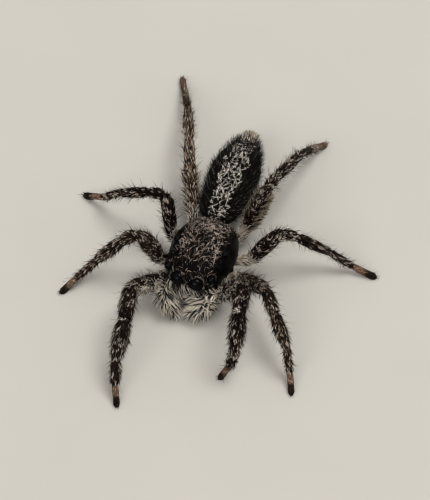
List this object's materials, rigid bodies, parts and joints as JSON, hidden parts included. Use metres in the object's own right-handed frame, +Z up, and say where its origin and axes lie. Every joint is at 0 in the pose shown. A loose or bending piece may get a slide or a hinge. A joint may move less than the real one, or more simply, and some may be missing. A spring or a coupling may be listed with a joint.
{
  "type": "jumping spider model",
  "caption": "Life-size model of a tan jumping spider standing with its legs spread, mottled black, brown and grey.",
  "frame": {"origin": "on the floor under the middle of the animal's outline, legs included", "axes": "+Z up, the spider faces -Y, its left side is +X"},
  "size_m": [0.015, 0.0196, 0.0037],
  "materials": {
    "carapace_cuticle": "near-black brown, glossy on the sides, with scattered tan and whitish scale hairs on top",
    "abdomen_coat": "short black hair with a scalloped band of pale grey scales along the back",
    "leg_coat": "short hair mottled black, brown and whitish, with thin dark bristles and pale tarsi",
    "palp_coat": "long cream-white bristles over dark skin",
    "underside_cuticle": "dark brown, thinly haired",
    "spinneret_tuft": "short grey hair",
    "eye_lens": "polished black lens"
  },
  "bodies": {
    "root": {"abdomen": "abdomen_coat", "carapace": "carapace_cuticle", "chelicera_left": "underside_cuticle", "chelicera_right": "underside_cuticle", "eye_front_middle_left": "eye_lens", "eye_front_middle_right": "eye_lens", "eye_front_side_left": "eye_lens", "eye_front_side_right": "eye_lens", "eye_rear_left": "eye_lens", "eye_rear_right": "eye_lens", "eye_small_left": "eye_lens", "eye_small_right": "eye_lens", "leg_1_left_femur": "leg_coat", "leg_1_left_metatarsus": "leg_coat", "leg_1_left_patella": "leg_coat", "leg_1_left_tarsus": "leg_coat", "leg_1_left_tibia": "leg_coat", "leg_1_right_femur": "leg_coat", "leg_1_right_metatarsus": "leg_coat", "leg_1_right_patella": "leg_coat", "leg_1_right_tarsus": "leg_coat", "leg_1_right_tibia": "leg_coat", "leg_2_left_femur": "leg_coat", "leg_2_left_metatarsus": "leg_coat", "leg_2_left_patella": "leg_coat", "leg_2_left_tarsus": "leg_coat", "leg_2_left_tibia": "leg_coat", "leg_2_right_femur": "leg_coat", "leg_2_right_metatarsus": "leg_coat", "leg_2_right_patella": "leg_coat", "leg_2_right_tarsus": "leg_coat", "leg_2_right_tibia": "leg_coat", "leg_3_left_femur": "leg_coat", "leg_3_left_metatarsus": "leg_coat", "leg_3_left_patella": "leg_coat", "leg_3_left_tarsus": "leg_coat", "leg_3_left_tibia": "leg_coat", "leg_3_right_femur": "leg_coat", "leg_3_right_metatarsus": "leg_coat", "leg_3_right_patella": "leg_coat", "leg_3_right_tarsus": "leg_coat", "leg_3_right_tibia": "leg_coat", "leg_4_left_femur": "leg_coat", "leg_4_left_metatarsus": "leg_coat", "leg_4_left_patella": "leg_coat", "leg_4_left_tarsus": "leg_coat", "leg_4_left_tibia": "leg_coat", "leg_4_right_femur": "leg_coat", "leg_4_right_metatarsus": "leg_coat", "leg_4_right_patella": "leg_coat", "leg_4_right_tarsus": "leg_coat", "leg_4_right_tibia": "leg_coat", "palp_left": "palp_coat", "palp_right": "palp_coat", "pedicel": "underside_cuticle", "spinnerets": "spinneret_tuft", "underside": "underside_cuticle"}
  },
  "joints": []
}
